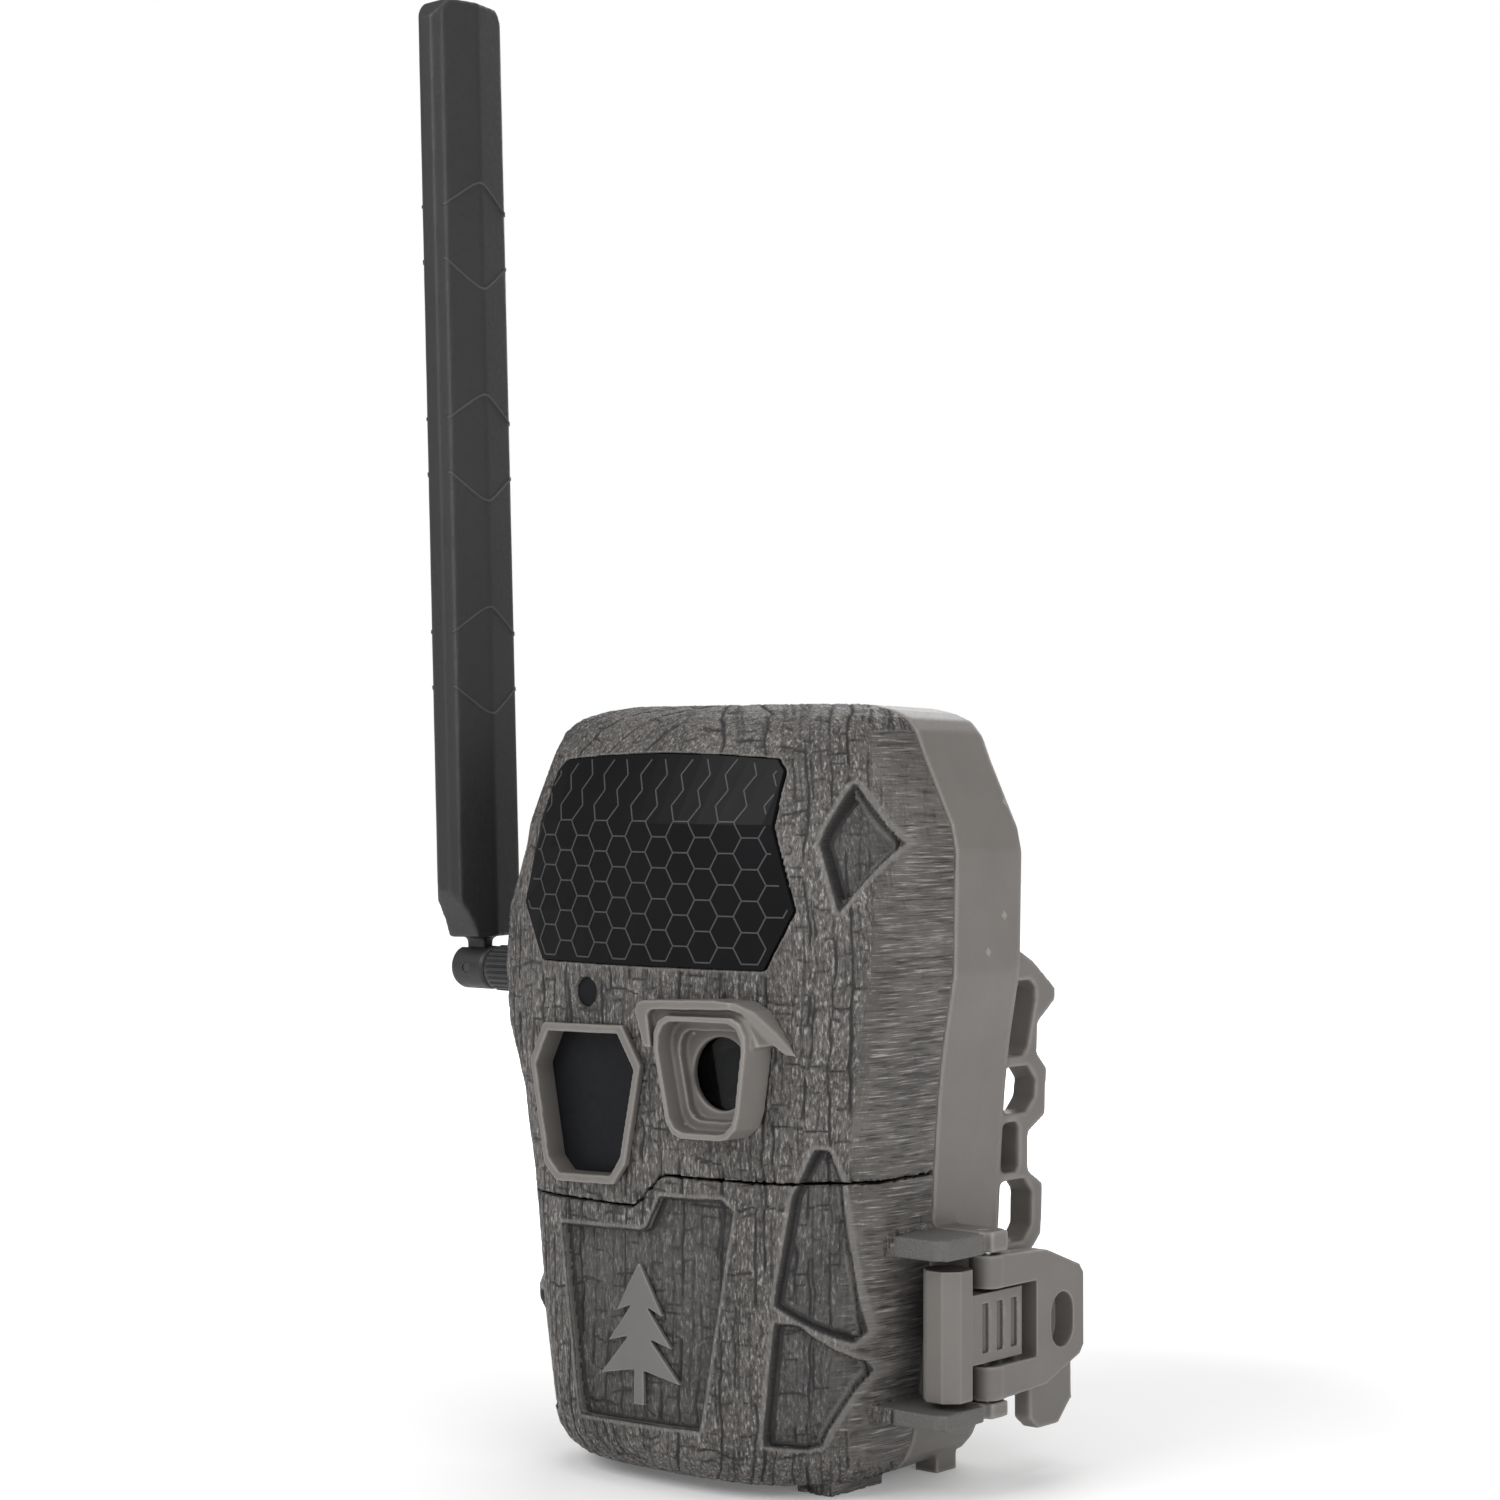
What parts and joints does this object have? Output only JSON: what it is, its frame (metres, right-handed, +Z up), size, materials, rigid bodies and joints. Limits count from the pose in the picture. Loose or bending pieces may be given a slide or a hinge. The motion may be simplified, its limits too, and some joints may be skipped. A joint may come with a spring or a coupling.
{
  "type": "trail camera",
  "caption": "Bark textured trail camera with a paddle antenna, hinged battery door, draw latch and toothed strap ladders at the back.",
  "frame": {"origin": "mouth of the tripod socket under the housing", "axes": "+Z up, -Y the way the lens looks, +X the latch side"},
  "size_m": [0.1258, 0.0779, 0.282],
  "materials": {
    "smooth_shell": "satin",
    "bark_shell": "textured",
    "emblem_grey": "satin",
    "steel": "satin",
    "rubber": "matte",
    "infrared_black": "semi gloss",
    "lamp_resin": "gloss",
    "circuit_board": "satin",
    "clear_glass": "clear",
    "satin_black": "satin",
    "sensor_film": "satin",
    "antenna_black": "fine grain",
    "brass": "satin",
    "button_grey": "matte",
    "card_blue": "satin",
    "card_white": "satin",
    "cell_wrap": "gloss"
  },
  "bodies": {
    "housing": {"rear_housing": "smooth_shell", "front_housing": "bark_shell", "door_hinge_pin": "steel", "door_gasket": "rubber", "infrared_window": "infrared_black", "infrared_leds": "lamp_resin", "led_board": "circuit_board", "lens_hood": "smooth_shell", "lens_window": "clear_glass", "lens_barrel": "satin_black", "lens_elements": "clear_glass", "image_sensor": "circuit_board", "motion_bezel": "smooth_shell", "motion_window": "sensor_film", "motion_sensor": "steel", "light_sensor_window": "sensor_film", "latch_lever_pins": "steel", "antenna_jack": "brass", "main_board": "circuit_board", "cellular_module": "steel", "control_panel": "satin_black", "control_board": "circuit_board", "sd_socket": "steel", "sim_socket": "steel", "battery_tray": "satin_black", "battery_cells": "cell_wrap", "battery_springs": "steel", "battery_contacts": "steel", "tripod_insert": "brass", "housing_screws": "steel", "board_screws": "steel", "power_jack": "satin_black"},
    "door": {"door": "bark_shell", "door_emblem": "emblem_grey"},
    "lever": {"latch_lever": "smooth_shell", "latch_link_pin": "steel"},
    "link": {"latch_link": "smooth_shell"},
    "nut": {"antenna_nut": "antenna_black"},
    "knuckle": {"antenna_knuckle": "antenna_black", "antenna_knuckle_pin": "antenna_black"},
    "blade": {"antenna_blade": "antenna_black", "antenna_radiator": "brass"},
    "switch": {"power_switch": "satin_black"},
    "button": {"setup_button": "button_grey"},
    "card": {"sd_card": "card_blue"},
    "sim": {"sim_card": "card_white"},
    "jack_cover": {"power_jack_cover": "rubber"}
  },
  "joints": [
    {"name": "door_swing", "type": "hinge", "parent": "housing", "child": "door", "pos_m": [-0.0428, -0.009, 0.032], "axis": [0, 0, -1], "range_deg": [0, 110]},
    {"name": "latch_swing", "type": "hinge", "parent": "housing", "child": "lever", "pos_m": [0.0498, -0.0056, 0.03], "axis": [0, 0, -1], "range_deg": [0, 90]},
    {"name": "link_swing", "type": "hinge", "parent": "lever", "child": "link", "pos_m": [0.0479, 0.0008, 0.03], "axis": [0, 0, 1], "range_deg": [0, 90]},
    {"name": "nut_turn", "type": "hinge", "parent": "housing", "child": "nut", "pos_m": [-0.052, -0.021, 0.0909], "axis": [-1, 0, 0], "continuous": true},
    {"name": "antenna_swivel", "type": "hinge", "parent": "housing", "child": "knuckle", "pos_m": [-0.06, -0.021, 0.0909], "axis": [-1, 0, 0], "range_deg": [-90, 90]},
    {"name": "antenna_fold", "type": "hinge", "parent": "knuckle", "child": "blade", "pos_m": [-0.0618, -0.021, 0.0909], "axis": [0, -1, 0], "range_deg": [-1.8, 88.2]},
    {"name": "power_switch_slide", "type": "slide", "parent": "housing", "child": "switch", "axis": [1, 0, 0], "range_m": [-0.0022, 0.0022]},
    {"name": "setup_button_press", "type": "slide", "parent": "housing", "child": "button", "axis": [0, 1, 0], "range_m": [0, 0.0006], "stiffness_N_per_m": 400},
    {"name": "sd_card_push", "type": "slide", "parent": "housing", "child": "card", "axis": [0, -1, 0], "range_m": [-0.001, 0.006]},
    {"name": "sim_card_push", "type": "slide", "parent": "housing", "child": "sim", "axis": [0, -1, 0], "range_m": [-0.0008, 0.005]},
    {"name": "jack_cover_pull", "type": "slide", "parent": "housing", "child": "jack_cover", "axis": [0, 0, -1], "range_m": [0, 0.007]}
  ],
  "couplings": [
    {"joint": "link_swing", "follows": "latch_swing", "ratio": 1}
  ]
}
